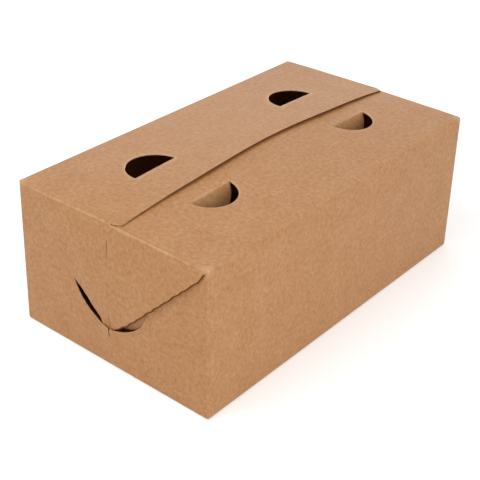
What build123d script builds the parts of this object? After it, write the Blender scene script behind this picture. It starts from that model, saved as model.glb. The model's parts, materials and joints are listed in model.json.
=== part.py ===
"""Takeaway food box folded from one creased blank of kraft board, in millimetres.

The box stands on z = 0 with its centre at the origin and its length along X. Two crowned top panels meet
along the middle, the back one over the front one. At each short end the corner gussets are folded flat into
a doubled triangular flap, which hangs down outside the end wall with its point tucked in a curved slit.
"""
import os
from math import cos, radians, sin, sqrt, tan

from build123d import *

os.makedirs("parts", exist_ok=True)

# Board
board = 0.45  # thickness
fold_radius = 1.0  # outside radius of a creased fold
cut_gap = 0.2  # open width of a die cut

# Box, over its outside faces
length = 190.6  # over both end flaps
width = 108.0  # over the long walls at their top folds
height = 72.0  # up to the long top folds
base_flare = 1.0  # foot of each long wall outside its top

# Top panels
back_overlap = 6.5  # free edge of the back panel past the centre line
overlap_corner = 1.0  # sliver cut off that overlap at each end, along X
front_setback = 0.3  # free edge of the front panel short of the centre line
panel_gap = 0.25  # air between the two panels at the centre line
end_rise = 0.9  # back panel's free edge above the long folds at its ends
crown_rise = 6.6  # and at mid length
crown_power = 2.6  # how flat the crown is in the middle
crown_steps = 8  # spans of the curve along a free edge

# Half-moon vents, two in each top panel
vent_radius = 12.5
vent_spread = 50.6  # centre of a vent from mid length
vent_row = 15.7  # straight side of a vent from the centre line
back_tab_turn = 62.0  # how far the pushed-in tabs are folded down, degrees
front_tab_turn = 62.0

# End flaps
layer_gap = 0.15  # air between the two layers of a flap
flap_clearance = 0.15  # between a flap and the wall or panel beside it
corner_inset = 1.2  # top corner of a flap from the long wall's face
corner_drop = 2.4  # start of a slanted edge below the top
tuck_depth = 4.0  # folded point of a flap past the bottom of the slit
tuck_turn = 5.0  # how far the point bends inwards, degrees
tuck_radius = 20.0  # radius of that bend
tuck_drop = 5.5  # start of the bend below the ends of the slit
point_clearance = 0.3  # trimmed point of a flap above the lip of the slit
crease_inset = 2.0  # width of the folded band along a slanted edge
edge_radius = 0.4  # rounding of the slanted folds
scallop_pitch = 6.0  # spacing of the perforated crease along a slanted edge
scallop_length = 3.4
scallop_depth = 0.4

# Curved slits in the end walls
slit_radius = 22.0
tongue_turn = 6.5  # how far the wall inside a slit is pushed in, degrees
nick_length = 4.0  # short cut below the middle of a slit

# Worked out from the sizes above
flap_thickness = 2 * board + layer_gap
wall_length = length - 2 * (flap_thickness + flap_clearance)
fold_line = width / 2 - fold_radius
wall_top = height - board - panel_gap
flap_half_width = width / 2 - corner_inset
slant_z = height - corner_drop
point_z = slant_z - flap_half_width
slit_z = point_z + tuck_depth + slit_radius
tuck_z = slit_z - tuck_drop
tuck_foot_z = point_z - tuck_depth
tuck_in = (tuck_z - tuck_foot_z) * tan(radians(tuck_turn))
cover = crown_rise + 2 * board


def back_rise(x):
    """Height of the back panel's free edge above the long folds."""
    return end_rise + (crown_rise - end_rise) * (1 - abs(2 * x / wall_length) ** crown_power)


def front_rise(x):
    """Height of the front panel's free edge, which lies just under the back panel."""
    return back_rise(x) * fold_line / (fold_line + back_overlap) - board - panel_gap


def panel_height(side, x, y):
    """Height of a top panel's upper face, back panel at side 1 and front panel at side -1."""
    reach = back_overlap if side > 0 else -front_setback
    rise = back_rise(x) if side > 0 else front_rise(x)
    return height + rise * (fold_line - side * y) / (fold_line + reach)


def half_disc(radius):
    """Half disc with its straight side along x and its arc towards y."""
    with BuildSketch() as disc:
        with BuildLine():
            arc = CenterArc((0, 0), radius, 0, 180)
            Line(arc @ 1, arc @ 0)
        make_face()
    return disc.sketch


def folded_box(inset, radius):
    """Closed block inset from the outside of the box, with every fold rounded but the short top ones."""
    foot, top = inset, height - inset
    foot_half, top_half = [width / 2 + base_flare * (1 - z / height) - inset for z in (foot, top)]
    with BuildPart() as block:
        with BuildSketch(Plane.YZ):
            with BuildLine():
                back_wall = [(foot_half, foot), (top_half, top)]
                Polyline(*back_wall, (-top_half, top), (-foot_half, foot), close=True)
            make_face()
        extrude(amount=wall_length / 2 - inset, both=True)
        short_top = block.edges().group_by(Axis.Z)[-1].filter_by(Axis.Y)
        fillet(block.edges() - short_top, radius=radius)
    return block.part


def crowned_panel(side, reach, rise):
    """Sheet ruled from a straight long fold to an arched free edge, reach past the centre line."""
    stations = [wall_length * (step / crown_steps - 0.5) for step in range(crown_steps + 1)]
    arch = [(x, height + rise(x)) for x in stations]
    with BuildPart() as panel:
        with BuildSketch(Plane.XZ.offset(-side * fold_line)):
            with Locations((0, height - board / 2)):
                Rectangle(wall_length, board)
        with BuildSketch(Plane.XZ.offset(side * reach)):
            with BuildLine():
                upper = Spline(*arch)
                lower = Spline(*[(x, z - board) for x, z in arch])
                Line(upper @ 0, lower @ 0)
                Line(upper @ 1, lower @ 1)
            make_face()
        loft(ruled=True)
    return panel.part


def tab_plane(side, x, turn):
    """Plane of a vent tab, hinged on the vent's straight side and folded down by turn."""
    y = side * vent_row
    step = vent_radius / 2
    slope = (panel_height(side, x + step, y) - panel_height(side, x - step, y)) / (2 * step)
    along = Vector(side, 0, side * slope)
    down = Vector(0, side * cos(radians(turn)), -sin(radians(turn)))
    return Plane(origin=(x, y, panel_height(side, x, y)), x_dir=along, z_dir=along.cross(down))


def is_slanted(edge):
    """Whether an edge runs down one of the two slanted sides of an end flap."""
    middle = edge.tangent_at(0.5)
    level, upright = abs(middle.Y), abs(middle.Z)
    return level < 2 * upright and upright < 2 * level


def end_flap(side):
    """Doubled triangular flap on one short end, hooked over the top fold and bent in at its point."""
    outer = side * length / 2
    across = Plane(origin=(outer, 0, 0), x_dir=(-side, 0, 0), z_dir=(0, side, 0))
    facing = Plane(origin=(outer, 0, 0), x_dir=(0, -side, 0), z_dir=(-side, 0, 0))
    reach = 2 * (flap_thickness + tuck_in)

    def hang(depth):
        """Points down a layer whose middle lies at depth behind the outer face."""
        return [(depth, tuck_z), (depth + tuck_in, tuck_foot_z)]

    with BuildPart() as pocket:
        middle = board + layer_gap / 2
        with BuildSketch(across):
            with BuildLine():
                start = [(2 * flap_thickness, height - middle), (middle, height - middle)]
                FilletPolyline(*start, *hang(middle), radius=[fold_radius - middle, tuck_radius])
            trace(line_width=layer_gap)
        extrude(amount=width / 2, both=True)
        with BuildSketch(facing):
            inner_half = flap_half_width - crease_inset * sqrt(2)
            with BuildLine():
                right = [(inner_half, height), (inner_half, slant_z), (0, slant_z - inner_half)]
                Polyline(*right, (-inner_half, slant_z), (-inner_half, height), close=True)
            make_face()
        extrude(amount=reach, both=True, mode=Mode.INTERSECT)

    with BuildPart() as flap:
        with BuildSketch(across):
            with BuildLine():
                middle = flap_thickness / 2
                FilletPolyline((middle, height), *hang(middle), radius=tuck_radius)
            trace(line_width=flap_thickness)
        extrude(amount=width / 2, both=True)
        top_edges = flap.edges().filter_by(Axis.Y).group_by(Axis.Z)[-1]
        fillet(top_edges.sort_by(Axis.X, reverse=side > 0)[0], radius=fold_radius)

        # Triangle outline, its point trimmed along the lip of the slit
        with BuildSketch(facing):
            lip_radius = slit_radius - point_clearance
            drop = slit_z - point_z
            half_point = (drop - sqrt(2 * lip_radius**2 - drop**2)) / 2
            trimmed = (half_point, point_z + half_point)
            half = [(flap_half_width, height), (flap_half_width, slant_z), trimmed]
            other_half = [(-y, z) for y, z in reversed(half)]
            with BuildLine():
                Polyline(*other_half, *half)
                ThreePointArc(half[-1], (0, slit_z - lip_radius), other_half[0])
            make_face()
        extrude(amount=reach, both=True, mode=Mode.INTERSECT)
        fillet(flap.edges().filter_by(is_slanted), radius=edge_radius)

        # Layers and the upright seam between the two halves of the outer one
        add(pocket.part, mode=Mode.SUBTRACT)
        with BuildSketch(across):
            with BuildLine():
                middle = board / 2
                start = [(2 * flap_thickness, height - middle), (middle, height - middle)]
                FilletPolyline(*start, *hang(middle), radius=[fold_radius - middle, tuck_radius])
            trace(line_width=board + layer_gap)
        extrude(amount=cut_gap / 2, both=True, mode=Mode.SUBTRACT)

        # Perforated creases
        scallop_radius = (scallop_length**2 / 4 + scallop_depth**2) / (2 * scallop_depth)
        stand_off = (scallop_radius - scallop_depth) / sqrt(2)
        pitch = scallop_pitch / sqrt(2)
        count = int((flap_half_width - half_point) / pitch)
        with BuildSketch(facing):
            for turn in range(1, count):
                across_half = flap_half_width - turn * pitch
                low = slant_z - turn * pitch - stand_off
                with Locations((across_half + stand_off, low), (-across_half - stand_off, low)):
                    Circle(scallop_radius)
        extrude(amount=reach, both=True, mode=Mode.SUBTRACT)
    return flap.part


# Carton: base, walls and long folds, opened at the top for the crowned panels
block = folded_box(0, fold_radius)
hollow = folded_box(board, fold_radius - board)
back_panel = crowned_panel(1, back_overlap, back_rise)
front_panel = crowned_panel(-1, -front_setback, front_rise)
vent_cut = half_disc(vent_radius)
vent_tab = half_disc(vent_radius - cut_gap)
slit_cut = half_disc(slit_radius)
tongue = half_disc(slit_radius - cut_gap)

with BuildPart() as back_top:
    add(back_panel)
    with BuildSketch(Plane.XY.offset(height - 2 * board)):
        end = wall_length / 2
        corner = [(end, front_setback), (end - overlap_corner, -back_overlap), (end, -back_overlap)]
        with BuildLine():
            Polyline(*corner, close=True)
        make_face()
        mirror(about=Plane.YZ)
    extrude(amount=cover + board, mode=Mode.SUBTRACT)

with BuildPart() as carton:
    add(block)
    add(hollow, mode=Mode.SUBTRACT)
    with BuildSketch(Plane.XY.offset(wall_top)):
        Rectangle(wall_length, 2 * fold_line)
    extrude(amount=cover, mode=Mode.SUBTRACT)
    add(back_top.part)
    add(front_panel)

    # Vents with their tabs pushed in
    for side, turn in ((1, back_tab_turn), (-1, front_tab_turn)):
        for x in (-vent_spread, vent_spread):
            over = Plane(origin=(x, side * vent_row, wall_top), x_dir=(side, 0, 0), z_dir=(0, 0, 1))
            with BuildSketch(over):
                add(vent_cut)
            extrude(amount=cover, mode=Mode.SUBTRACT)
            with BuildSketch(tab_plane(side, x, turn)):
                add(vent_tab)
            extrude(amount=-board)

    # Slits in the end walls, the tongue inside each pushed in, and the nick below it
    for side in (-1, 1):
        foot = (side * wall_length / 2, 0, slit_z)
        turn = radians(tongue_turn)
        with BuildSketch(Plane(origin=foot, x_dir=(0, -side, 0), z_dir=(side, 0, 0))):
            add(slit_cut)
            with Locations((0, (slit_radius + nick_length) / 2)):
                Rectangle(cut_gap, slit_radius + nick_length)
        extrude(amount=-board, mode=Mode.SUBTRACT)
        with BuildSketch(Plane(origin=foot, x_dir=(0, -side, 0), z_dir=(side * cos(turn), 0, -sin(turn)))):
            add(tongue)
        extrude(amount=-board)

carton.part.label = "carton"
export_step(carton.part, "parts/carton.step")

# End flaps
for name, side in (("left_end_flap", -1), ("right_end_flap", 1)):
    flap_part = end_flap(side)
    flap_part.label = name
    export_step(flap_part, f"parts/{name}.step")
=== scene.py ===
"""Takeaway food box in brown kraft board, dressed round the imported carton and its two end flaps.

Each piece is cut flat, as the board is, then carried to its place: an outline with its holes is filled with
triangles and every point of it is bent over the folds. Sizes are in metres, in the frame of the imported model.
"""
import json
from math import atan, atan2, ceil, cos, exp, hypot, pi, radians, sin, sqrt

import bmesh
import bpy
import numpy as np
from bpy.props import FloatProperty, FloatVectorProperty, PointerProperty
from mathutils import Matrix, Vector
from mathutils.geometry import delaunay_2d_cdt


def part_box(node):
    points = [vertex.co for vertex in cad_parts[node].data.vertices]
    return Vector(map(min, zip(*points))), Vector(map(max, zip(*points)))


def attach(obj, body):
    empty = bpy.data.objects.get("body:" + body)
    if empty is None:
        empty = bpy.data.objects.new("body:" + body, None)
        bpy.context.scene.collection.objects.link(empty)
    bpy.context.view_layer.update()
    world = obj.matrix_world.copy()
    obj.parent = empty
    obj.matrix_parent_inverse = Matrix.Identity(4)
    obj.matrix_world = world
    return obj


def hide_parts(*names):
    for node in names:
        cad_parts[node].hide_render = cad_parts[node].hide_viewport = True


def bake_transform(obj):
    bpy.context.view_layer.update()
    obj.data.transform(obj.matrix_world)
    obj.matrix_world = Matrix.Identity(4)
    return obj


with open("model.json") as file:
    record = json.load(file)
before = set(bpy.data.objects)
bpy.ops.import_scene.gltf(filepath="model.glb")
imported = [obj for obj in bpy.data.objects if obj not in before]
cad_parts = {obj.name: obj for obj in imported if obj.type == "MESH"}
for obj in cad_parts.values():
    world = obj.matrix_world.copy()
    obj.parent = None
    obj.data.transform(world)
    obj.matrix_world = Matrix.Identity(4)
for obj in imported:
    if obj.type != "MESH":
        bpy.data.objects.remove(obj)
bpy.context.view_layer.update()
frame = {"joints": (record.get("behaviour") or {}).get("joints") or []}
carton_low, carton_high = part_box("carton")
flap_low, flap_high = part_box("left_end_flap")
fold_height = frame["joints"][0]["pos_m"][2]

bl_info = {
    "name": "Kraft food box",
    "version": (1, 0, 0),
    "blender": (4, 5, 0),
    "location": "3D View > Sidebar > Food box",
    "description": "Folds a takeaway food box in kraft board round its packed frame",
    "category": "Object",
}

# Wear of folds, and painted highlights along the rims of cuts, as shares of the paler wear colour, and the
# widths of those rims
corner_wear = 0.08
spot_wear = 0.9
base_wear = 0.05
long_fold_wear = 0.16
end_fold_wear = 0.47
tab_wear = 0.3
far_fold_wear = 0.15
near_fold_wear = 0.2
perforation_wear = 0.6
slit_rim_highlight = 0.6
lap_rim_highlight = 0.42
lap_rim_width = 0.0003
vent_rim_highlight = 1.0
vent_rim_width = 0.0011

# Painted shade: a dark line beside the end of the overlap, where the back panel steps down to the front one,
# taken off the wear of the end fold
lap_painted_shade = 1.2


def size(name, description, default):
    """Length that a user may change."""
    return FloatProperty(name=name, description=description, default=default, unit="LENGTH", precision=5)


def turn(name, description, default):
    """Angle that a user may change, given in degrees."""
    return FloatProperty(name=name, description=description, default=radians(default), subtype="ANGLE")


def share(name, description, default):
    """Plain factor that a user may change."""
    return FloatProperty(name=name, description=description, default=default)


def tint(name, description, default):
    """Colour that a user may change."""
    return FloatVectorProperty(name=name, description=description, default=default, subtype="COLOR", max=1.0)


def spot(name, description, default):
    """Place that a user may change."""
    return FloatVectorProperty(name=name, description=description, default=default, unit="LENGTH")


class FoodBoxSizes(bpy.types.PropertyGroup):
    """Sizes of the folded box. The right end is the left one turned half round, front to back."""

    board: size("Board", "Thickness of the board", 0.00045)
    fold: size("Fold radius", "Outside radius of a creased fold", 0.001)
    spacing: size("Mesh spacing", "Distance between points on a plain panel", 0.003)
    cut: size("Cut", "Open width of a die cut", 0.0002)
    length: size("Wall length", "Over the two end walls", carton_high.x - carton_low.x)
    flap_face: size("Flap face", "Outer face of an end flap from mid length", -flap_low.x)
    width: size("Width", "Over the long walls at their top folds", 0.108)
    flare: size("Base flare", "Foot of each long wall outside its top", 0.001)
    height: size("Height", "Up to the long top folds", fold_height)
    crown: size("Crown", "Free edge of the back panel above the folds at mid length", 0.00595)
    end_rise: size("End rise", "Free edge of the back panel above the folds at its ends", 0.0009)
    crown_power: share("Crown flatness", "How flat the crown is in the middle", 2.6)
    overlap: size("Overlap", "Free edge of the back panel past the centre line", 0.0073)
    overlap_corner: size("Overlap corner", "Sliver cut off that overlap at each end", 0.001)
    free_bow: size("Free bow", "How far that free edge bows back in the middle", 0.0021)
    overhang: size("Overhang", "End of that overlap past the end wall where it leaves the end fold", 0.0008)
    lap_end: size("Lap end", "Where that is past the centre line", 0.0034)
    lap_foot: size("Lap foot", "Where its end line leaves the fold again, lower down", 0.001)
    setback: size("Setback", "Free edge of the front panel short of the centre line", 0.0003)
    panel_gap: size("Panel gap", "Air between the two top panels at mid length", 0.00018)
    vent_radius: size("Vent radius", "Radius of a half-moon vent", 0.0125)
    vent_spread: size("Vent spread", "Centre of a vent from mid length", 0.05028)
    vent_row: size("Vent row", "Straight side of a vent from the centre line", 0.01605)
    back_vent_radius: size("Back vent radius", "Half the width of a vent in the back panel", 0.0125)
    back_vent_depth: size("Back vent depth", "Straight side of such a vent to its arc", 0.0141)
    back_vent_row: size("Back vent row", "Straight side of such a vent from the centre line", 0.01445)
    back_vent_shift: size("Back vent shift", "How far such vents lie to the right of the front ones", -0.0003)
    back_vent_shoulder: share("Back vent shoulder", "How much fuller their arcs are towards the right", 0.1)
    back_tab: turn("Back tabs", "How far the back vent tabs are folded down", 62)
    front_tab: turn("Front tabs", "How far the front vent tabs are folded down", 61)
    tab_curl: turn("Tab curl", "Further bend of a tab from its fold to its tip", 8)
    tab_fold: size("Tab fold", "Radius of a front tab's fold", 0.0011)
    back_tab_fold: size("Back tab fold", "Radius of a back tab's fold", 0.0003)
    slit_radius: size("Slit radius", "Radius of the curved slit in an end wall", 0.022)
    slit_height: size("Slit height", "Ends of the slit above the base", 0.0433)
    end_shift: size("End shift", "How far slit and flap point lie off the middle of an end wall", 0.0009)
    shift_reach: size("Shift reach", "Height below the top over which a flap leans to that", 0.006)
    nick: size("Nick", "Short cut below the middle of a slit", 0.004)
    nick_width: size("Nick width", "Open width of that cut at the slit", 0.0009)
    tongue: turn("Tongue", "How far the board inside a slit is pushed in", 9.3)
    tongue_twist: turn("Tongue twist", "How much more it is pushed in on one side than in the middle", 7.6)
    tongue_fold: size("Tongue fold", "Radius of the tongue's bend", 0.012)
    flap_half: size("Flap half width", "Top corner of an end flap from the centre line", flap_high.y)
    flap_thickness: size("Flap thickness", "Both layers of an end flap", 0.00105)
    corner_drop: size("Corner drop", "Start of a slanted edge below the top", 0.0020)
    tuck_start: size("Tuck start", "Height below which the flap bends in", 0.028)
    tuck_depth: size("Tuck depth", "How far in the flap's point is at the lip of the slit", 0.00075)
    bulge: size("Bulge", "How far an end wall swells out in the middle", 0.0013)
    lip_push: size("Lip push", "How far more the flap's point pushes out the lip of the slit", 0.0015)
    lip_width: size("Lip width", "Reach of that push along the lip", 0.007)
    far_press: size("Far press", "How far the edge away from the front is pressed to the wall", 0.0007)
    far_dip: size("Far dip", "How far that edge passes into the slit", 0.0011)
    corner_press: size("Corner press", "How far the top corners of a flap are pressed to the wall", 0.00095)
    near_lift: size("Near lift", "How far the edge nearer the front springs off the wall", 0.0006)
    wave_pitch: size("Wave pitch", "Spacing of the perforations along a slanted edge", 0.0066)
    wave_depth: size("Wave depth", "Depth of the waves they leave along the edge nearer the front", 0.0004)
    far_wave_depth: size("Far wave depth", "Depth of the waves along the other edge", 0.00015)
    near_spread: size("Near spread", "How far the edge nearer the front stands out of line", 0.00077)
    edge_round: size("Edge rounding", "Rounding of the slanted folds", 0.00045)
    near_round: size("Near rounding", "Width of that rounding along the edge nearer the front", 0.0008)
    seam: size("Seam", "Widest opening of the upright seam in a flap", 0.00045)


class FoodBoxFinish(bpy.types.PropertyGroup):
    """Colours of the board, and of its painted highlights and painted shade."""

    kraft: tint("Kraft", "Colour of the board", (0.5, 0.245, 0.1))
    kraft_dark: tint("Dark fibre", "Colour of the darker fibres", (0.402, 0.167, 0.044))
    kraft_pale: tint("Pale fibre", "Colour of the paler fibres", (0.598, 0.323, 0.156))
    # Also the colour of the painted highlights along the cuts of slits, vents and the overlap.
    worn: tint("Worn fold", "Colour of board stretched over a fold", (0.69, 0.43, 0.24))
    # Cut edges are made far darker than bare board: their colour is partly the board's own and partly painted
    # shade, standing for the shade in the gaps beside the cuts.
    cut_edge: tint("Cut edge", "Colour of the board's cut edges", (0.13, 0.042, 0.004))
    # Painted shade: the dark colour laid along the rounded near edge of a flap, where it stands off the wall,
    # and beside the end of the overlap.
    crease: tint("Crease", "Colour of a crease, as along a flap's near edge", (0.17, 0.05, 0.004))
    fleck: tint("Fleck", "Colour of bark flecks in the board", (0.28, 0.13, 0.055))


class FoodBoxStage(bpy.types.PropertyGroup):
    """Camera, light and floor."""

    aim: spot("Aim", "Point that the camera faces", (-0.00815, 0.00035, 0.02551))
    azimuth: turn("Azimuth", "Direction of the camera round the box", -51.242)
    elevation: turn("Elevation", "Height of the camera above the floor, as an angle", 30.941)
    roll: turn("Roll", "Tilt of the camera", -1.875)
    distance: size("Distance", "Camera from the point that it faces", 0.51865)
    lens: share("Focal length", "Focal length in millimetres on a 36 mm sensor", 81.734)
    floor: tint("Floor", "Colour of the floor", (0.9, 0.9, 0.9))
    sky_strength: share("Sky", "Light from the white surroundings", 0.65)
    key_power: share("Key light", "Power of the lamp over the left end, in watts", 1.42)
    key_place: spot("Key place", "Place of that lamp", (-0.38, 0.1, 0.62))
    key_width: size("Key width", "Side of that lamp", 0.4)
    front_power: share("Front light", "Power of the lamp before the front wall, in watts", 1.0)
    front_place: spot("Front place", "Place of that lamp", (-0.22, -0.62, 0.2))
    front_width: size("Front width", "Side of that lamp", 0.35)
    fill_power: share("Fill light", "Power of the lamp behind the box, in watts", 2.9)
    fill_place: spot("Fill place", "Place of that lamp", (1.4, 1.02, 0.75))
    fill_width: size("Fill width", "Side of that lamp", 1.2)


# Sizes worked out from the settings


def half_length(s):
    """Middle of the box to the start of an end wall's rounded corner."""
    return s.length / 2 - s.fold


def half_width(s):
    """Centre line to the long fold's straight start on top."""
    return s.width / 2 - s.fold


def bend(s):
    """Board taken up by a square fold."""
    return s.fold * pi / 2


def back_rise(s, x):
    """Height of the back panel's free edge above the long folds."""
    return s.end_rise + (s.crown - s.end_rise) * (1 - abs(2 * x / s.length) ** s.crown_power)


def panel_level(s, side, x, y):
    """Height of a top panel's upper face, back panel at side 1 and front panel at side -1."""
    line = half_width(s)
    rise = back_rise(s, x)
    if side > 0:
        return s.height + rise * (line - y) / (line + s.overlap)
    left_share = 0.4
    gap = s.panel_gap * (left_share + (1 - left_share) * smooth(2 * x / s.length + 1))
    front_rise = rise * line / (line + s.overlap) - s.board - gap
    return s.height + front_rise * (line + y) / (line - s.setback)


def clamp(value, low, high):
    """Value held between two limits."""
    return min(max(value, low), high)


def smooth(value):
    """Smooth step from 0 to 1."""
    value = clamp(value, 0.0, 1.0)
    return value * value * (3 - 2 * value)


def steps(start, end, spacing, slack=1e-6):
    """Evenly spaced values from start to end, both included."""
    count = max(1, ceil(abs(end - start) / spacing - slack))
    return [start + (end - start) * i / count for i in range(count + 1)]


# Board skins


class BoardSkin:
    """Outer face of a folded piece of board, gathered sheet by sheet and then given its thickness."""

    def __init__(self):
        self.mesh = bmesh.new()
        self.uv = self.mesh.loops.layers.uv.new("board")
        # Per point: wear of folds, painted highlights along cuts, and painted shade as values below nothing.
        self.wear = self.mesh.verts.layers.float.new("fold_wear")

    def add_sheet(self, outline, holes, columns, rows, place, flip=False, clearance=0.0004, extra=()):
        """Fill an outline with holes and carry it to place(u, v): point, board position and wear, which also
        holds painted highlight and painted shade.
        """
        points, triangles = fill_outline([outline] + list(holes), columns, rows, clearance, extra)
        placed = [place(*point) for point in points]
        verts = []
        for point, _, wear in placed:
            vert = self.mesh.verts.new(point)
            vert[self.wear] = wear
            verts.append(vert)
        for triangle in triangles:
            corners = triangle[::-1] if flip else triangle
            face = self.mesh.faces.new([verts[i] for i in corners])
            face.smooth = True
            for loop, i in zip(face.loops, corners):
                loop[self.uv].uv = placed[i][1]

    def finish(self, name, thickness, weld=0.00001, sharp=radians(38)):
        """Join the sheets where they meet, thicken the board inwards and return the piece."""
        bmesh.ops.remove_doubles(self.mesh, verts=self.mesh.verts, dist=weld)
        piece = new_piece(name, self.mesh, kraft_material(), cut_edge_and_shade_material())
        thicken = piece.modifiers.new("board", "SOLIDIFY")
        thicken.thickness = thickness
        thicken.offset = -1
        thicken.use_even_offset = True
        thicken.material_offset_rim = 1
        settle(piece)
        piece.data.set_sharp_from_angle(angle=sharp)
        return piece


def new_piece(name, shape, *materials):
    """Object of a finished shape, with its materials."""
    mesh = bpy.data.meshes.new(name)
    shape.to_mesh(mesh)
    shape.free()
    for material in materials:
        mesh.materials.append(material)
    piece = bpy.data.objects.new(name, mesh)
    bpy.context.scene.collection.objects.link(piece)
    return piece


def settle(piece):
    """Replace a piece's mesh by what its modifiers make of it."""
    bpy.context.view_layer.update()
    evaluated = piece.evaluated_get(bpy.context.evaluated_depsgraph_get())
    mesh = bpy.data.meshes.new_from_object(evaluated)
    old = piece.data
    piece.modifiers.clear()
    piece.data = mesh
    bpy.data.meshes.remove(old)
    mesh.name = piece.name


def fill_outline(loops, columns, rows, clearance, extra=()):
    """Points and triangles over an outline with holes, on a grid kept clear of the cut lines."""
    points, edges = [], []
    for loop in loops:
        first = len(points)
        points += [tuple(point) for point in loop]
        edges += [(first + i, first + (i + 1) % len(loop)) for i in range(len(loop))]
    ends = np.array([points[a] + points[b] for a, b in edges])
    grid = np.array([(u, v) for u in columns for v in rows] + list(extra)).reshape(-1, 2)
    inside, room = lie_of(grid, ends)
    points += [tuple(point) for point in grid[inside & (room > clearance)]]
    tolerance = 1e-7
    filled = delaunay_2d_cdt([Vector(p) for p in points], edges, [], 0, tolerance)
    where = np.array([tuple(v) for v in filled[0]])
    triangles = [tuple(face) for face in filled[2]]
    middles = np.array([where[list(face)].mean(axis=0) for face in triangles])
    kept, _ = lie_of(middles, ends)
    return where.tolist(), [face for face, keep in zip(triangles, kept) if keep]


def lie_of(points, ends):
    """Which points lie inside the cut lines, and how far each is from the nearest of them."""
    least_run = 1e-18
    inside = np.zeros(len(points), bool)
    room = np.full(len(points), np.inf)
    px, py = points[:, 0], points[:, 1]
    for ax, ay, bx, by in ends:
        if ay != by:
            inside ^= ((ay > py) != (by > py)) & (px < ax + (py - ay) * (bx - ax) / (by - ay))
        run = max((bx - ax) ** 2 + (by - ay) ** 2, least_run)
        along = np.clip(((px - ax) * (bx - ax) + (py - ay) * (by - ay)) / run, 0, 1)
        room = np.minimum(room, np.hypot(px - ax - along * (bx - ax), py - ay - along * (by - ay)))
    return inside, room


def half_disc(radius, spacing, notch=0.0):
    """Half disc, straight along x and curved towards y, with a point beside each end if it is notched."""
    straight = steps(-radius, radius, spacing)
    if notch:
        straight = [-radius] + steps(-radius + notch, radius - notch, spacing) + [radius]
    count = ceil(pi * radius / spacing) * 2
    arc = [(radius * cos(pi * i / count), radius * sin(pi * i / count)) for i in range(1, count)]
    return [(x, 0.0) for x in straight] + arc


# Carton


def round_the_walls(s, distance):
    """Middle of the fold circle and outward direction at a distance round the walls.

    The distance runs anticlockwise from the right end of the back wall.
    """
    x, y = half_length(s), half_width(s)
    runs = (
        (2 * x, (x, y), (-1, 0)),
        (2 * y, (-x, y), (0, -1)),
        (2 * x, (-x, -y), (1, 0)),
        (2 * y, (x, -y), (0, 1)),
    )
    for run, start, way in runs:
        out = (way[1], -way[0])
        if distance <= run:
            return start[0] + way[0] * distance, start[1] + way[1] * distance, *out
        distance -= run
        if distance <= bend(s):
            angle = distance / s.fold
            return (
                start[0] + way[0] * run,
                start[1] + way[1] * run,
                out[0] * cos(angle) + way[0] * sin(angle),
                out[1] * cos(angle) + way[1] * sin(angle),
            )
        distance -= bend(s)
    return x, y, 0, 1


def panel_stops(s, half, seam=False):
    """Positions across a panel from fold to fold, some close to its folds and to a seam in its middle."""
    beside = s.fold / 4
    inner = half - beside
    if seam:
        right = steps(s.setback, inner, s.spacing)
        flat = [-v for v in reversed(right)] + right
    else:
        flat = steps(-inner, inner, s.spacing)
    return [-half] + flat + [half]


def fold_stops(s):
    """Distances from the start of a square fold to its end."""
    fold_steps = 6
    return steps(0.0, bend(s), bend(s) / fold_steps)[1:]


def wall_stations(s):
    """Distances round the walls at which the board has points."""
    stations, start = [0.0], 0.0
    for half, seam in ((half_length(s), False), (half_width(s), True)) * 2:
        stations += [start + half + stop for stop in panel_stops(s, half, seam)[1:]]
        stations += [start + 2 * half + stop for stop in fold_stops(s)]
        start = stations[-1]
    return stations


def swell(s, y, z):
    """How far an end wall swells out at a point, least at its folds."""
    fullness = 0.8
    across = max(1 - (y / half_width(s)) ** 2, 0.0)
    return s.bulge * across * sin(pi * clamp(z / s.height, 0, 1)) ** fullness


def pushed_lip(s, y, z):
    """How far the flap's point pushes out the wall below the slit."""
    lip = s.slit_height - s.slit_radius
    upright = clamp(z / lip, 0, 1) if z < lip else exp(-(((z - lip) / s.lip_width) ** 2))
    return s.lip_push * exp(-((y / s.lip_width) ** 2)) * upright


def wall_point(s, distance, z):
    """Point of the walls' outer face, its board position, and the wear of its fold with the painted highlight
    along a slit.
    """
    x, y, out_x, out_y = round_the_walls(s, distance)
    spread = s.flare * (1 - z / (s.height - s.fold)) * y / half_width(s)
    wear = corner_wear * abs(2 * out_x * out_y)
    off = y - s.end_shift * out_x
    out = s.fold + (swell(s, y, z) + pushed_lip(s, off, z)) * abs(out_x)
    point = (x + out_x * out, y + spread + out_y * s.fold, z)
    return point, (distance, z), wear + corner_spot(s, point) + slit_rim(s, off, z) * abs(out_x)


def corner_spot(s, point):
    """Wear of the four top corners, which reaches further along the end folds than down the walls."""
    reach, across, down = 1.8 * s.fold, 0.5, 1.3
    x, y, z = (abs(value) for value in point)
    past = hypot(x - s.length / 2, across * (y - s.width / 2), down * (z - s.height))
    return spot_wear * exp(-((past / reach) ** 2))


def slit_rim(s, y, z):
    """Painted highlight: paler rim along the cut of a slit, standing for its lit cut face."""
    room = abs(hypot(y, s.slit_height - z) - s.slit_radius)
    return slit_rim_highlight * max(1 - room / s.board, 0.0) if z < s.slit_height else 0.0


def rounded_point(s, x, y, half_y, level, foot, square=1.0):
    """Point on a panel with rounded edges, given where it would lie with its edges unrolled flat.

    The folds at its two ends are rounder or squarer by the power given.
    """
    flat = 1e-9
    inner_x = clamp(x, -half_length(s), half_length(s))
    inner_y = clamp(y, -half_y, half_y)
    past = hypot(x - inner_x, y - inner_y)
    top = level(inner_x, inner_y)
    if past < flat:
        return (x, y, top), 0.0
    angle = past / s.fold
    reach = s.fold * sin(angle) / past
    endwise = ((x - inner_x) / past) ** 2
    z = top + (foot - top) * (1 - cos(angle)) ** (1 + (square - 1) * endwise)
    point = (inner_x + (x - inner_x) * reach, inner_y + (y - inner_y) * reach, z)
    return point, sin(2 * angle) * (1 - endwise)


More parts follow.
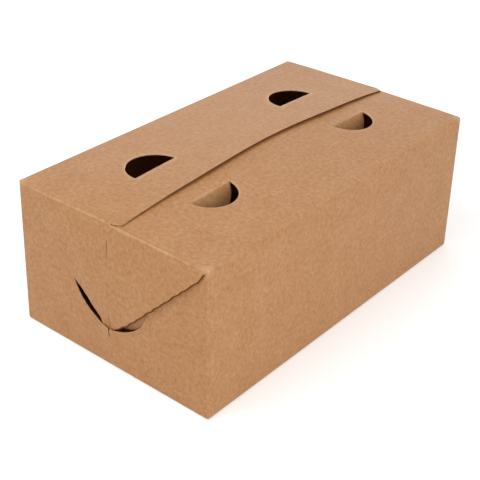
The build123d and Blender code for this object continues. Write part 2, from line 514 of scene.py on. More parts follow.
def slit_middle(s, side):
    """Distance round the walls of the middle of a slit, left at side -1 and right at side 1."""
    half_round = 2 * half_length(s) + 2 * half_width(s) + 2 * bend(s)
    left = 2 * half_length(s) + bend(s) + half_width(s) + s.end_shift
    return left if side < 0 else left + half_round


def slit_outline(s):
    """Curved slit with its nick, its straight side along x."""
    outline = half_disc(s.slit_radius, s.spacing / 2, s.cut)
    half_cut = s.nick_width / 2
    sides = [point for point in outline if abs(point[0]) > half_cut * 2 or point[1] < s.slit_radius / 2]
    before = [point for point in sides if point[0] > 0 or point[1] == 0]
    after = [point for point in sides if point[0] < 0 and point[1] > 0]
    foot = s.slit_radius + s.nick
    rim = sqrt(s.slit_radius**2 - half_cut**2)
    nick = [(half_cut, rim), (half_cut / 3, foot), (-half_cut / 3, foot), (-half_cut, rim)]
    return before + nick + after


def ring(points, gap):
    """Points a little outside a closed outline, which keep what is painted along it narrow."""
    centre = Vector((0, 0))
    for point in points:
        centre += Vector(point) / len(points)
    return [tuple(Vector(p) + (Vector(p) - centre).normalized() * gap) for p in points]


def add_walls(skin, s):
    """Sleeve of four walls with the slits in its ends, and the tongues inside them."""
    stations = wall_stations(s)
    foot, top = s.fold, s.height - s.fold
    mid_height = (foot + top) / 2
    levels = [mid_height + stop for stop in panel_stops(s, mid_height - foot)]
    outline = [(u, foot) for u in stations] + [(stations[-1], v) for v in levels[1:-1]]
    outline += [(u, top) for u in reversed(stations)] + [(0.0, v) for v in reversed(levels[1:-1])]
    slits, rims = [], []
    arc = half_disc(s.slit_radius + s.board, s.spacing / 2)
    for side in (-1, 1):
        middle = slit_middle(s, side)
        slits.append([(middle + p, s.slit_height - w) for p, w in slit_outline(s)])
        rims += [(middle + p, s.slit_height - w) for p, w in arc if w > 0]

    def place(distance, z):
        return wall_point(s, distance, z)

    skin.add_sheet(outline, slits, stations[1:-1], levels[1:-1], place, extra=rims)
    for side in (-1, 1):
        add_tongue(skin, s, side)


def add_tongue(skin, s, side):
    """Half disc of an end wall inside the slit, pushed in by the flap's point."""
    middle = slit_middle(s, side)
    radius = s.slit_radius - s.cut

    def place(p, w):
        hinge, board, _ = wall_point(s, middle + p, s.slit_height)
        full = s.tongue - s.tongue_twist * p / radius
        bent = min(w / s.tongue_fold, full)
        inward = s.tongue_fold * (1 - cos(bent)) + (w - bent * s.tongue_fold) * sin(bent)
        down = s.tongue_fold * sin(bent) + (w - bent * s.tongue_fold) * cos(bent)
        return (hinge[0] - side * inward, hinge[1], hinge[2] - down), (board[0], board[1] - w), 0.0

    grid = steps(-radius, radius, s.spacing / 2)
    skin.add_sheet(half_disc(radius, s.spacing / 2), [], grid, grid, place, flip=True)


def add_base(skin, s):
    """Plain base with its four folds turned up to meet the walls."""
    half_y = half_width(s) + s.flare * (1 - s.fold / (s.height - s.fold))
    outline = []
    for distance in wall_stations(s)[:-1]:
        x, y, out_x, out_y = round_the_walls(s, distance)
        outline.append((x + out_x * bend(s), y * half_y / half_width(s) + out_y * bend(s)))

    def place(x, y):
        point, wear = rounded_point(s, x, y, half_y, lambda u, v: 0.0, s.fold)
        return point, (x, y), base_wear * wear

    columns = fold_rows(s, panel_stops(s, half_length(s)))
    rows = fold_rows(s, [stop * half_y / half_width(s) for stop in panel_stops(s, half_width(s), True)])
    skin.add_sheet(outline, [], columns, rows, place, flip=True, clearance=0.0001)


def fold_rows(s, flat):
    """Rows across a panel, with more of them over the folds at both its ends."""
    folds = [flat[-1] + stop for stop in fold_stops(s)[:-1]]
    return [-v for v in reversed(folds)] + flat + folds


def free_edge(s, x):
    """Free edge of the back panel, which bows back a little past mid length."""
    middle, reach = 0.003, 0.055
    return s.free_bow * cos(pi / 2 * clamp((x - middle) / reach, -1, 1)) ** 2 - s.overlap


def lap_rim(s, x, y):
    """Painted highlight: paler rim along the cut edge of the overlap towards its left end, where it lies close
    to the front panel, standing for that lit cut edge.
    """
    start, reach = 0.035, 0.05
    corner = s.length / 2 - s.overlap_corner
    past = y - free_edge(s, x) if x > -corner else y + s.lap_end
    return lap_rim_highlight * smooth((-x - start) / reach) * clamp(1 - past / lap_rim_width, 0.0, 1.0)


def lap_line(s, inside=0.0):
    """Points along the free edge of the back panel, or a little inside it."""
    cut = s.length / 2 - s.overlap_corner
    return [(x, free_edge(s, x) + inside) for x in steps(-cut, cut, s.spacing)]


def lap_outline(s):
    """Free edge of the back panel with its slanted ends, which run over the end folds."""
    tip = s.length / 2 + s.overhang
    cut = s.length / 2 - s.overlap_corner
    slope = (tip - cut) / (s.overlap - s.lap_end)
    drops = steps(s.setback / 2, -s.lap_end, s.fold)[:-1] + steps(-s.lap_end, -s.overlap, s.fold)[:-1]
    left_end = [(-tip + slope * max(-s.lap_end - y, 0.0), y) for y in drops]
    return left_end + lap_line(s) + [(-x, y) for x, y in reversed(left_end)]


def add_top_panel(skin, s, side):
    """Crowned top panel from its long fold to its free edge, with two vents and their tabs."""
    fold_side = []
    for distance in wall_stations(s)[:-1]:
        x, y, out_x, out_y = round_the_walls(s, distance)
        if side * y > s.setback / 2:
            fold_side.append((distance, (x + out_x * bend(s), y + out_y * bend(s))))
    outline = [point for _, point in fold_side]
    beside_lap = []
    if side > 0:
        half_round = wall_stations(s)[-1] / 2
        start = next(i for i, (distance, _) in enumerate(fold_side) if distance > half_round)
        outline = outline[start:] + outline[:start] + lap_outline(s)
        beside_lap = lap_line(s, lap_rim_width)
    else:
        outline += [(x, -s.setback) for x in reversed(panel_stops(s, half_length(s)))]
    vents, halos = [], []
    radius, depth, row, middles = vent_sizes(s, side)
    for x in middles:
        disc = [fuller(s, side, *point) for point in half_disc(radius, s.spacing / 2, s.cut)]
        vents.append([(x + p, side * (row + w * depth / radius)) for p, w in disc])
        halos += ring(vents[-1], vent_rim_width)
    lap_start = 0.9 * s.setback

    def level(x, y):
        return panel_level(s, side, x, y)

    def place(x, y):
        if side > 0 and y < lap_start:
            # Painted highlight along the cut edge of the overlap
            point, wear = (x, y, level(x, y)), lap_rim(s, x, y)
        else:
            point, wear = rounded_point(s, x, y, half_width(s), level, s.height - s.fold, square=4.0)
            wear *= long_fold_wear
        # Painted highlight along the cuts of the vents, added to the wear.
        wear += corner_spot(s, point) + vent_rim(s, side, x, side * y)
        return point, (slit_middle(s, -1) + x, s.height + half_width(s) - side * y), wear

    columns = fold_rows(s, panel_stops(s, half_length(s)))
    rows = fold_rows(s, panel_stops(s, half_width(s), True))
    skin.add_sheet(outline, vents, columns, rows, place, clearance=0.0001, extra=halos + beside_lap)
    for x in middles:
        add_vent_tab(skin, s, side, x)


def vent_sizes(s, side):
    """Radius, depth and straight side of a panel's vents, and the middles of the two."""
    if side > 0:
        middles = (s.back_vent_shift - s.vent_spread, s.back_vent_shift + s.vent_spread)
        return s.back_vent_radius, s.back_vent_depth, s.back_vent_row, middles
    return s.vent_radius, s.vent_radius, s.vent_row, (-s.vent_spread, s.vent_spread)


def shoulder(s, side, p, w):
    """How many times further out the arc of a vent is in the direction of a point from its middle."""
    if side < 0 or w <= 0:
        return 1.0
    full_span = 2 * pi / 3
    return 1 + s.back_vent_shoulder * max(sin(pi * min(atan2(w, p) / full_span, 1.0)), 0.0)


def fuller(s, side, p, w):
    """Point of a half disc moved out to the fuller arc of a back vent."""
    out = shoulder(s, side, p, w)
    return p * out, w * out


def vent_rim(s, side, x, y):
    """Painted highlight: paler rim along the cut of a vent and along its straight side, standing for the lit
    cut face.
    """
    radius, depth, row, middles = vent_sizes(s, side)
    across = min((x - middle for middle in middles), key=abs)
    past = (y - row) * radius / depth
    if past > 0:
        room = abs(hypot(across, past) - radius * shoulder(s, side, across, past))
    else:
        room = hypot(max(abs(across) - radius, 0), past)
    shut_share = 0.3
    open_share = 1.0 if side > 0 else shut_share + (1 - shut_share) * smooth(across / radius)
    return vent_rim_highlight * open_share * max(1 - room / vent_rim_width, 0.0)


def add_vent_tab(skin, s, side, middle):
    """Half-moon tab folded down from the straight side of its vent."""
    radius, depth, row, _ = vent_sizes(s, side)
    radius -= s.cut
    full = s.back_tab if side > 0 else s.front_tab
    bend_radius = s.back_tab_fold if side > 0 else s.tab_fold

    def place(p, w):
        x = middle + p
        y = side * row
        level = panel_level(s, side, x, y)
        lean = atan((level - s.height) / (half_width(s) - row))
        w *= depth / (radius + s.cut)
        turned = min(w / bend_radius, full - lean)
        folded = turned * bend_radius
        out = bend_radius * (sin(lean + turned) - sin(lean))
        drop = bend_radius * (cos(lean) - cos(lean + turned))
        rest = w - folded
        if rest > 0:
            curl = lean + turned + s.tab_curl * rest / (2 * radius)
            out += rest * cos(curl)
            drop += rest * sin(curl)
        wear = tab_wear * sin(pi * clamp(turned / (full - lean), 0, 1))
        board = (slit_middle(s, -1) + x, s.height + half_width(s) - row - w)
        return (x, y + side * out, level - drop), board, wear

    across = steps(-radius, radius, s.spacing / 2)
    fold_steps = 5
    folded = bend_radius * full
    rows = steps(0, folded, folded / fold_steps)[1:] + steps(folded, radius, s.spacing / 2)[1:]
    outline = [fuller(s, side, *point) for point in half_disc(radius, s.spacing / 2)]
    skin.add_sheet(outline, [], across, rows, place, flip=side < 0, clearance=0.00005)


# End flaps


def slant_room(s, y, z):
    """Distances of a point of a flap from its far and its near slanted edge."""
    edge = s.flap_half - (s.height - s.corner_drop - z)
    return (edge - y) / sqrt(2), (edge + y) / sqrt(2)


def above_slit(s, z):
    """Whether a height is above the open part of a slit, from 0 to 1."""
    slit_side = s.slit_height - s.slit_radius / 2
    return smooth((z - slit_side) / (s.slit_radius / 4))


def pressed_in(s, y, z):
    """How far a flap is pressed to the wall, along its far edge and at its top corners."""
    far, _ = slant_room(s, y, z)
    band = 12 * s.fold
    along_far = s.far_press * smooth(1 - far / band) * above_slit(s, z)
    side = smooth((abs(y) - s.flap_half + band) / band) * smooth((z - s.height + band) / band)
    return max(along_far, s.corner_press * side)


def flap_inset(s, y, z):
    """How far in a flap's outer face lies at a point, less than nothing where it swells out with the wall.

    Its point passes behind the lip of the slit, and its near edge springs off the wall.
    """
    lip = s.slit_height - s.slit_radius
    past = max(s.tuck_start - z, 0.0) / (s.tuck_start - lip)
    tucked = s.tuck_depth * past * past
    far, near = slant_room(s, y, z)
    along = clamp((z - lip) / (s.height - lip), 0, 1)
    band, point_band = 10 * s.fold, 3 * s.fold
    lifted = s.near_lift * smooth(1 - near / band) * smooth(far / band) * sin(pi * along)
    dipped = s.far_dip * smooth(1 - far / band) * (1 - above_slit(s, z)) * smooth((z - lip) / point_band)
    return tucked + dipped + pressed_in(s, y, z) - lifted - swell(s, y, z)


def flap_outline(s):
    """Outline of a flap, down its far side to the point, up its near side and back along the top."""
    slant_top = s.height - s.corner_drop
    point = slant_top - s.flap_half
    run = s.flap_half * sqrt(2)
    beat_rate, beat_shift, beat_depth = 0.37, 0.6, 0.25
    pitch_steps, fade_pitches = 12, 1.5
    spread_start, spread_end, point_pull = 4 * s.fold, 20 * s.fold, 1.1
    down, up = [], []
    for stop in steps(0, run, s.wave_pitch / pitch_steps):
        fade = smooth(stop / s.wave_pitch) * smooth((run - stop) / (s.wave_pitch * fade_pitches))
        beat = sin(stop / s.wave_pitch * beat_rate * 2 * pi)
        wave = (1 - cos(2 * pi * stop / s.wave_pitch + beat_shift * beat)) / 2
        wave *= 1 - beat_depth + beat_depth * beat
        for side, depth, half in ((1, s.far_wave_depth, down), (-1, s.wave_depth, up)):
            inset = depth * wave * fade / sqrt(2)
            if side < 0:
                spread = (1 + point_pull) * smooth((run - stop) / spread_end) - point_pull
                inset -= s.near_spread * smooth(stop / spread_start) * spread / sqrt(2)
            y = s.flap_half - stop / sqrt(2) - inset
            z = slant_top - stop / sqrt(2) + inset
            half.append((side * max(y, 0.0), z))
    sides = [(s.flap_half, z) for z in steps(s.height, slant_top, s.corner_drop / 3)[:-1]]
    far = sides + down[:-1] + [(0.0, point)]
    near = [(-y, z) for y, z in reversed(sides)]
    top = [(y, s.height) for y in steps(-s.flap_half, s.flap_half, s.spacing)[1:-1]]
    return far + list(reversed(up[:-1])) + near + top


def seam_outline(s):
    """Upright seam between the two halves of a flap's outer layer, open most near its ends."""
    above_lip, below_top, spacing = 0.0006, 0.0065, 0.0012
    upper_start, upper_reach, upper_end = 0.053, 0.009, 0.0015
    lower_end, lower_reach = 0.0295, 0.004
    closed = 0.05
    low = s.slit_height - s.slit_radius + above_lip
    high = s.height - below_top
    left, right = [], []
    for z in steps(low, high, spacing):
        upper = smooth((z - upper_start) / upper_reach) * smooth((high - z) / upper_end)
        lower = smooth((lower_end - z) / lower_reach)
        half = s.seam / 2 * (closed + (1 - closed) * max(upper, lower))
        left.append((-half, z))
        right.append((half, z))
    return right + list(reversed(left))


def outward(loop):
    """Outward directions at the points of a clockwise or anticlockwise loop."""
    points = [Vector(p) for p in loop]
    area = sum(a.x * b.y - a.y * b.x for a, b in zip(points, points[1:] + points[:1]))
    sign = 1 if area > 0 else -1
    result = []
    for before, after in zip(points[-1:] + points[:-1], points[1:] + points[:1]):
        along = (after - before).normalized()
        result.append(Vector((along.y, -along.x)) * sign)
    return result


def flap_folds(s, loop):
    """Width, depth, wear and painted shade of the rounded edge at each point of a flap's outline."""
    slant_top = s.height - s.corner_drop
    corner, dash_power = 2 * s.fold, 4
    folds = []
    for y, z in loop:
        high = smooth((z - slant_top) / s.corner_drop)
        wide = 1 - smooth((abs(y) - s.flap_half + corner) / corner)
        depth = s.edge_round + (s.fold - s.edge_round) * high * wide
        near = 0.0
        # Painted shade along the near slanted edge, which stands off the wall
        if y < 0 and z < slant_top:
            near = smooth((slant_top - z) / s.edge_round) * smooth(-2 * y / s.wave_pitch)
        dash = cos(pi * sqrt(2) * (s.flap_half - y) / s.wave_pitch) ** dash_power
        wear = far_fold_wear + perforation_wear * dash if y > 0 else near_fold_wear * (1 - near)
        folds.append((depth + (s.near_round - s.edge_round) * near, depth, wear, near))
    return folds


def flap_piece(s, name, side):
    """Doubled triangular flap with rounded slanted folds and an upright seam in its outer layer."""
    loop = flap_outline(s)
    rim = list(zip([Vector(point) for point in loop], outward(loop), flap_folds(s, loop)))
    face = [tuple(point - out * fold[0]) for point, out, fold in rim]
    slant_top = s.height - s.corner_drop
    mesh = bmesh.new()
    uv = mesh.loops.layers.uv.new("board")
    wear_and_shade_layer = mesh.verts.layers.float.new("fold_wear")

    def vertex(y, z, depth, wear=0.0):
        depth *= 1 - pressed_in(s, y, z) / s.flap_thickness
        x = side * (s.flap_face - flap_inset(s, y, z) - depth)
        lean = s.end_shift * smooth((slant_top - z) / s.shift_reach)
        vert = mesh.verts.new((x, -side * (y - lean), z))
        vert[wear_and_shade_layer] = wear + corner_spot(s, vert.co)
        return vert

    def cover(corners):
        made = mesh.faces.new(corners)
        made.smooth = True
        for corner in made.loops:
            corner[uv].uv = (corner.vert.co.y, corner.vert.co.z)

    columns = steps(-s.flap_half, s.flap_half, s.spacing)
    rows = steps(0.0, s.height, s.spacing)
    groove = seam_outline(s)
    clearance = s.spacing / 6
    front_points, front = fill_outline([face, groove], columns, rows, clearance)
    back_points, back = fill_outline([face], columns, rows, clearance)
    front_verts = [vertex(y, z, 0.0) for y, z in front_points]
    back_verts = [vertex(y, z, s.flap_thickness) for y, z in back_points]
    for corners in front:
        cover([front_verts[i] for i in corners])
    for corners in back:
        cover([back_verts[i] for i in reversed(corners)])
    fold_steps = 4
    angles = [pi / 2 * i / fold_steps for i in range(1, fold_steps + 1)]
    count = len(face)
    rings = [front_verts[:count]]
    for angle in angles:
        rings.append([])
        for point, out, (width, depth, wear, crease) in rim:
            y, z = point - out * width * (1 - sin(angle))
            # The painted shade is taken off the wear, darkening the rounding of the near edge.
            rings[-1].append(vertex(y, z, depth * (1 - cos(angle)), wear * sin(2 * angle) - crease))
    for angle in reversed(angles):
        rings.append([])
        for point, out, (width, *_) in rim:
            y, z = point - out * min(width, s.edge_round) * (1 - sin(angle))
            rings[-1].append(vertex(y, z, s.flap_thickness - s.edge_round * (1 - cos(angle))))
    rings.append(back_verts[:count])
    for upper, lower in zip(rings, rings[1:]):
        for i in range(count):
            j = (i + 1) % count
            cover((upper[j], upper[i], lower[i], lower[j]))
    edge = front_verts[count : count + len(groove)]
    floor = [vertex(y, z, s.board) for y, z in groove]
    for i in range(len(groove)):
        j = (i + 1) % len(groove)
        cover((edge[i], edge[j], floor[j], floor[i]))
    for i in range(len(groove) // 2 - 1):
        k = len(groove) - 1 - i
        cover((floor[i], floor[i + 1], floor[k - 1], floor[k]))
    bmesh.ops.recalc_face_normals(mesh, faces=mesh.faces)
    piece = new_piece(name, mesh, kraft_material())
    sharp = radians(50)
    piece.data.set_sharp_from_angle(angle=sharp)
    return piece


def end_fold(s, name, side):
    """Board that runs on from the top panels over the end fold and down onto the flap and the corners."""
    skin = BoardSkin()
    proud = 0.00002
    end = s.length / 2
    under, past_flap, apron = 0.3 * s.fold, 0.2 * s.fold, 2.5 * s.fold
    inner, outer = end - under, s.flap_face - s.fold
    run = outer - inner
    step = s.setback
    flap_side = s.flap_half - s.edge_round
    far = half_width(s) + past_flap
    total = run + bend(s) + apron

    def place(y, t):
        turned = clamp((t - run) / bend(s), 0, 1)
        lap = s.lap_end + (s.lap_foot - s.lap_end) * turned
        lapped = smooth((y + lap) / step + 1)
        over, beneath = panel_level(s, 1, end, y), panel_level(s, -1, end, min(y, 0))
        level = lapped * over + (1 - lapped) * beneath + proud
        # Painted shade along the step from the back panel down to the front one, fading out down the fold
        wear = -lap_painted_shade * 4 * lapped * (1 - lapped) * (1 - smooth(2 * turned))
        slant = s.height - s.corner_drop - s.flap_half + abs(y)
        low = max(s.height - s.fold - apron, slant + s.edge_round)
        if t <= run:
            x, z = inner + t, level
        elif t <= run + bend(s):
            angle = (t - run) / s.fold
            x, z = outer + (s.fold + proud) * sin(angle), level - s.fold * (1 - cos(angle))
            wear += end_fold_wear * sin(2 * angle) ** 2
        else:
            down = (t - run - bend(s)) / (total - run - bend(s))
            x, z = s.flap_face + proud, (level - s.fold) * (1 - down) + low * down
        inset = flap_inset(s, -side * clamp(y, -flap_side, flap_side), min(z, s.height))
        past = smooth((abs(y) - flap_side) / (far - flap_side))
        x -= inset + (s.flap_face - end - inset) * past
        point = (side * x, y, z)
        return point, (y, s.height + run + bend(s) - t), wear + corner_spot(s, point)

    corner = steps(flap_side, far, s.fold / 5)[1:]
    lap_stops = steps(-s.lap_end - step, -s.lap_foot, step / 4)
    across = [-v for v in reversed(corner)] + steps(-flap_side, lap_stops[0], s.spacing)[:-1] + lap_stops
    across += steps(lap_stops[-1], flap_side, s.spacing)[1:] + corner
    fold_steps = 8
    down = steps(0, run, s.fold / 2) + steps(run, run + bend(s), bend(s) / fold_steps)[1:]
    down += steps(run + bend(s), total, s.fold / 2)[1:]
    outline = [(y, 0.0) for y in across] + [(far, t) for t in down[1:-1]]
    outline += [(y, total) for y in reversed(across)] + [(-far, t) for t in reversed(down[1:-1])]
    skin.add_sheet(outline, [], across[1:-1], down[1:-1], place, flip=side > 0, clearance=0.00005)
    thickness = s.board / 5
    return skin.finish(name, thickness)


# Board finish


def feed(tree, socket, value):
    """Set an input to a value, or link it where the value is another node's output."""
    if isinstance(value, bpy.types.NodeSocket):
        tree.links.new(value, socket)
    else:
        socket.default_value = value


def add_node(tree, kind, label, place, modes=None, **inputs):
    """New node with its label, place and modes, and its inputs fed."""
    node = tree.nodes.new(kind)
    node.label = label
    node.location = place
    for key, mode in (modes or {}).items():
        setattr(node, key, mode)
    for key, value in inputs.items():
        feed(tree, node.inputs[key.replace("_", " ")], value)
    return node


def combine(tree, label, place, operation, first, second, limited=False):
    """Value worked out from two others, which may be limited to the range from 0 to 1."""
    node = add_node(tree, "ShaderNodeMath", label, place, {"operation": operation, "use_clamp": limited})
    feed(tree, node.inputs[0], first)
    feed(tree, node.inputs[1], second)
    return node.outputs["Value"]


def mix(tree, label, place, first, second, amount, kind="FLOAT"):
    """Value or colour with some of a second one mixed in."""
    inputs = {"Factor": amount, "A": first, "B": second}
    return add_node(tree, "ShaderNodeMix", label, place, {"data_type": kind}, **inputs).outputs["Result"]


def remap(tree, label, place, value, **limits):
    """Value carried from one range to another."""
    return add_node(tree, "ShaderNodeMapRange", label, place, Value=value, **limits).outputs["Result"]


def join(tree, kind, label, place, first, second, **inputs):
    """Two shaders joined in one."""
    node = add_node(tree, kind, label, place, **inputs)
    sockets = [socket for socket in node.inputs if socket.type == "SHADER"]
    feed(tree, sockets[0], first)
    feed(tree, sockets[1], second)
    return node.outputs["Shader"]


def fibre_group():
    """Shader group: tone, flecks and relief of fibres that lie along the board's second direction."""
    name = "Kraft fibres"
    if name in bpy.data.node_groups:
        return bpy.data.node_groups[name]
    group = bpy.data.node_groups.new(name, "ShaderNodeTree")
    group.interface.new_socket("Position", in_out="INPUT", socket_type="NodeSocketVector")
    group.interface.new_socket("Scale", in_out="INPUT", socket_type="NodeSocketFloat")
    for output in ("Tone", "Flecks", "Relief"):
        group.interface.new_socket(output, in_out="OUTPUT", socket_type="NodeSocketFloat")
    board = add_node(group, "NodeGroupInput", "Board", (-900, 0)).outputs

    def fibres(label, row, stretch, scale, **values):
        where = {"Vector": board["Position"], "Scale": stretch}
        mapping = add_node(group, "ShaderNodeMapping", label, (-700, row), **where)
        values["Scale"] = combine(group, label, (-700, row - 150), "MULTIPLY", board["Scale"], scale)
        values["Vector"] = mapping.outputs["Vector"]
        return add_node(group, "ShaderNodeTexNoise", label, (-500, row), **values).outputs["Fac"]

    streaks = fibres("Streaks", 400, stretch=(0.85, 0.72, 1.0), scale=1.0, Detail=3.0, Roughness=0.65)
    cloud = fibres("Cloudy formation", 100, stretch=(1.0, 0.8, 1.0), scale=0.15, Detail=3.0, Roughness=0.55)
    grit = fibres("Grit", -200, stretch=(1.0, 0.9, 1.0), scale=1.9, Detail=2.0, Roughness=0.5)
    flecks = fibres("Flecks", -500, stretch=(1.0, 0.4, 1.0), scale=0.9, Detail=1.0, Roughness=0.5)
    clouded = mix(group, "Cloud in streaks", (-200, 300), streaks, cloud, amount=0.25)
    tone = mix(group, "Grit in tone", (0, 250), clouded, grit, amount=0.25)
    relief = mix(group, "Grit in streaks", (0, -100), streaks, grit, amount=0.5)
    rare = remap(group, "Rare flecks", (0, -450), flecks, From_Min=0.70, From_Max=0.78)
    add_node(group, "NodeGroupOutput", "Fibres", (700, 0), Tone=tone, Flecks=rare, Relief=relief)
    return group


def board_material(name, low, middle, high):
    """Kraft material whose fibres run from a dark to a pale tone, paler on folds by wear and along cuts by
    painted highlight, and darkened by painted shade where the wear attribute falls below nothing.
    """
    if name in bpy.data.materials:
        return bpy.data.materials[name]
    finish = bpy.context.scene.food_box_finish
    material = bpy.data.materials.new(name)
    material.use_nodes = True
    tree = material.node_tree
    tree.nodes.clear()
    coords = add_node(tree, "ShaderNodeUVMap", "Board position", (-1000, 0), {"uv_map": "board"})
    group = {"node_tree": fibre_group()}
    where = {"Position": coords.outputs["UV"], "Scale": 620.0}
    fibres = add_node(tree, "ShaderNodeGroup", "Fibres", (-800, 0), group, **where).outputs
    ramp = add_node(tree, "ShaderNodeValToRGB", "Fibre tone", (-550, 150), Fac=fibres["Tone"])
    tones = ramp.color_ramp.elements
    dark_end, centre, pale_end = 0.32, 0.5, 0.68
    tones.new(centre)
    for tone, position, colour in zip(tones, (dark_end, centre, pale_end), (low, middle, high)):
        tone.position = position
        tone.color = (*colour, 1)

    def times(label, place, first, second, limited=False):
        return combine(tree, label, place, "MULTIPLY", first, second, limited)

    def lay_over(label, place, under, colour, amount):
        return mix(tree, label, place, under, (*colour, 1), amount, kind="RGBA")

    fleck_strength, painted_shade_sign, dullest = 0.35, -1.0, 1.0
    some_flecks = times("Fleck strength", (-550, -100), fibres["Flecks"], fleck_strength)
    flecked = lay_over("Flecks", (-250, 150), ramp.outputs["Color"], finish.fleck, some_flecks)
    # This attribute holds wear, painted highlights and, below nothing, painted shade.
    wear = add_node(tree, "ShaderNodeAttribute", "Fold wear", (-550, -300), {"attribute_name": "fold_wear"})
    patches = {"From_Min": 0.3, "From_Max": 0.7, "To_Min": 0.3, "To_Max": 1.6}
    patchy = remap(tree, "Patchy wear", (-550, -500), fibres["Tone"], **patches)
    broken = times("Wear broken by fibres", (-250, -100), wear.outputs["Fac"], patchy, limited=True)
    worn = lay_over("Worn folds", (0, 100), flecked, finish.worn, broken)
    # Painted shade: wear below nothing turns into a dark line of the painted shade colour, and dulls the
    # surface there.
    crease = times("Crease, as wear below nothing", (0, -150), wear.outputs["Fac"], painted_shade_sign, limited=True)
    relief = fibres["Relief"]
    rough = remap(tree, "Roughness", (-250, -250), relief, To_Min=0.36, To_Max=0.54)
    pressed = {"Height": relief, "Strength": 0.25, "Distance": 0.00006}
    bump = add_node(tree, "ShaderNodeBump", "Fibre relief", (-250, -500), **pressed)
    look = {
        "Base_Color": lay_over("Creases", (150, 300), worn, finish.crease, crease),
        "Roughness": mix(tree, "Dull creases", (0, -300), rough, dullest, crease),
        "Specular_IOR_Level": 0.22,
        "Normal": bump.outputs["Normal"],
    }
    shader = add_node(tree, "ShaderNodeBsdfPrincipled", "Board", (350, 100), **look)
    add_node(tree, "ShaderNodeOutputMaterial", "Output", (650, 100), Surface=shader.outputs["BSDF"])
    return material


def kraft_material():
    """Uncoated brown board."""
    finish = bpy.context.scene.food_box_finish
    return board_material("kraft_face", finish.kraft_dark, finish.kraft, finish.kraft_pale)


def cut_edge_and_shade_material():
    """Die-cut edge of the board, far darker than its faces: partly its own colour and partly painted shade,
    standing for the shade in the narrow gaps beside the cuts.
    """
    edge = bpy.context.scene.food_box_finish.cut_edge
    spread = 0.3
    dark, pale = ([channel * level for channel in edge] for level in (1 - spread, 1 + spread))
    return board_material("kraft_cut_edge", dark, edge, pale)


# Stage


def background_share(tree):
    """Node output that is 1 for rays that should see plain white."""
    rays = add_node(tree, "ShaderNodeLightPath", "Ray kind", (-800, 200)).outputs
    seen = rays["Is Camera Ray"]
    for column, kind in ((-600, "Is Glossy Ray"), (-400, "Is Transmission Ray")):
        seen = combine(tree, "Either", (column, 200), "MAXIMUM", seen, rays[kind])
    return seen


def make_floor(stage):
    """Wide pale floor that looks white and keeps the shadow of the box."""
    material = bpy.data.materials.new("pale_floor")
    material.use_nodes = True
    tree = material.node_tree
    tree.nodes.clear()
    look = {"Base_Color": (*stage.floor, 1), "Roughness": 0.9, "Specular_IOR_Level": 0.1}
    plain = add_node(tree, "ShaderNodeBsdfPrincipled", "Floor", (0, 0), **look).outputs["BSDF"]
    glow = add_node(tree, "ShaderNodeEmission", "Glow", (0, -400), Strength=0.36).outputs["Emission"]
    lifted = join(tree, "ShaderNodeAddShader", "Floor lifted to white", (350, -200), plain, glow)
    seen = background_share(tree)
    chosen = join(tree, "ShaderNodeMixShader", "Lift only what is seen", (550, 0), plain, lifted, Fac=seen)
    add_node(tree, "ShaderNodeOutputMaterial", "Output", (800, 0), Surface=chosen)
    reach, squares, below = 6.0, 8, 0.0001
    shape = bmesh.new()
    bmesh.ops.create_grid(shape, x_segments=squares, y_segments=squares, size=reach)
    floor = new_piece("floor", shape, material)
    floor.location = (0, 0, -below)


def make_surroundings(scene, stage):
    """White studio surroundings, plain white where the camera sees them."""
    world = bpy.data.worlds.new("white_studio")
    scene.world = world
    world.use_nodes = True
    tree = world.node_tree
    tree.nodes.clear()

    def white(label, row, strength):
        look = {"Color": (1, 1, 1, 1), "Strength": strength}
        return add_node(tree, "ShaderNodeBackground", label, (0, row), **look).outputs["Background"]

    light, plain = white("Light", 0, stage.sky_strength), white("White", -200, 1.0)
    seen = background_share(tree)
    chosen = join(tree, "ShaderNodeMixShader", "White where seen", (300, 0), light, plain, Fac=seen)
    add_node(tree, "ShaderNodeOutputWorld", "Output", (550, 0), Surface=chosen)


def make_lamp(name, place, width, power):
    """Large soft lamp that faces the box."""
    data = bpy.data.lights.new(name, "AREA")
    data.shape = "SQUARE"
    data.size = width
    data.energy = power
    lamp = bpy.data.objects.new(name, data)
    lamp.location = place
    lamp.rotation_mode = "QUATERNION"
    lamp.rotation_quaternion = Vector(place).to_track_quat("Z", "Y")
    lamp.visible_camera = False
    bpy.context.scene.collection.objects.link(lamp)


def make_camera(scene, stage):
    """Camera at the photograph's viewing angle."""
    data = bpy.data.cameras.new("camera")
    data.sensor_width = 36.0
    data.lens = stage.lens
    data.clip_start = 0.01
    camera = bpy.data.objects.new("camera", data)
    level = cos(stage.elevation)
    away = Vector((sin(stage.azimuth) * level, -cos(stage.azimuth) * level, sin(stage.elevation)))
    facing = away.to_track_quat("Z", "Y").to_matrix().to_4x4()
    tilt = Matrix.Rotation(-stage.roll, 4, "Z")
    camera.matrix_world = Matrix.Translation(Vector(stage.aim) + away * stage.distance) @ facing @ tilt
    scene.collection.objects.link(camera)
    scene.camera = camera


# Operators


class FOODBOX_OT_carton(bpy.types.Operator):
    """Fold the carton: base, walls with their slits, and crowned top panels with their vents"""

    bl_idname = "foodbox.carton"
    bl_label = "Carton"

    def execute(self, context):
        s = context.scene.food_box_sizes
        skin = BoardSkin()
        add_walls(skin, s)
        add_base(skin, s)
        add_top_panel(skin, s, 1)
        add_top_panel(skin, s, -1)
        carton = skin.finish("carton_board", s.board)
        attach(carton, "carton")
        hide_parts("carton")
        return {"FINISHED"}


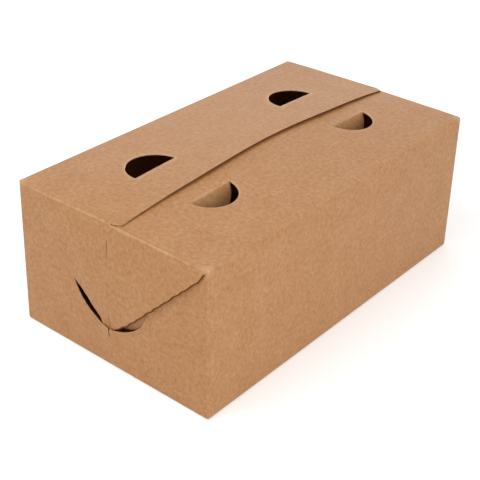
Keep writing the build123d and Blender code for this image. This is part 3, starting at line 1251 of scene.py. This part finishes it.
class FOODBOX_OT_end_flaps(bpy.types.Operator):
    """Make the doubled triangular flap on each short end"""

    bl_idname = "foodbox.end_flaps"
    bl_label = "End flaps"

    def execute(self, context):
        s = context.scene.food_box_sizes
        for word, side in (("left", -1), ("right", 1)):
            flap = flap_piece(s, f"{word}_flap_board", side)
            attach(flap, f"{word}_flap")
            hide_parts(f"{word}_end_flap")
        return {"FINISHED"}


class FOODBOX_OT_end_folds(bpy.types.Operator):
    """Run the board of the top panels over the end folds onto the flaps"""

    bl_idname = "foodbox.end_folds"
    bl_label = "End folds"

    def execute(self, context):
        s = context.scene.food_box_sizes
        for word, side in (("left", -1), ("right", 1)):
            fold = end_fold(s, f"{word}_end_fold", side)
            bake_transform(fold)
        return {"FINISHED"}


class FOODBOX_OT_stage(bpy.types.Operator):
    """Set up the floor, the white surroundings, the lamps and the camera"""

    bl_idname = "foodbox.stage"
    bl_label = "Stage"

    def execute(self, context):
        stage = context.scene.food_box_stage
        context.scene.view_settings.view_transform = "Standard"
        make_floor(stage)
        make_surroundings(context.scene, stage)
        for lamp in ("key", "front", "fill"):
            place, width, power = (getattr(stage, f"{lamp}_{value}") for value in ("place", "width", "power"))
            make_lamp(f"{lamp}_lamp", place, width, power)
        make_camera(context.scene, stage)
        return {"FINISHED"}


class FOODBOX_PT_panel(bpy.types.Panel):
    """Pieces, sizes and colours of the food box"""

    bl_idname = "FOODBOX_PT_panel"
    bl_label = "Food box"
    bl_space_type = "VIEW_3D"
    bl_region_type = "UI"
    bl_category = "Food box"

    def draw(self, context):
        for operator in operators:
            self.layout.operator(operator.bl_idname)
        scene = context.scene
        for group in (scene.food_box_sizes, scene.food_box_finish, scene.food_box_stage):
            column = self.layout.column()
            for key in group.__annotations__:
                column.prop(group, key)


operators = (FOODBOX_OT_carton, FOODBOX_OT_end_flaps, FOODBOX_OT_end_folds, FOODBOX_OT_stage)
classes = (FoodBoxSizes, FoodBoxFinish, FoodBoxStage, *operators, FOODBOX_PT_panel)


def register():
    """Add the classes and the settings they read."""
    for item in classes:
        bpy.utils.register_class(item)
    bpy.types.Scene.food_box_sizes = PointerProperty(type=FoodBoxSizes)
    bpy.types.Scene.food_box_finish = PointerProperty(type=FoodBoxFinish)
    bpy.types.Scene.food_box_stage = PointerProperty(type=FoodBoxStage)


def unregister():
    """Remove the settings and the classes."""
    del bpy.types.Scene.food_box_stage
    del bpy.types.Scene.food_box_finish
    del bpy.types.Scene.food_box_sizes
    for item in reversed(classes):
        bpy.utils.unregister_class(item)


def main():
    """Make every piece and the stage."""
    register()
    bpy.ops.foodbox.carton()
    bpy.ops.foodbox.end_flaps()
    bpy.ops.foodbox.end_folds()
    bpy.ops.foodbox.stage()


if __name__ == "__main__":
    main()
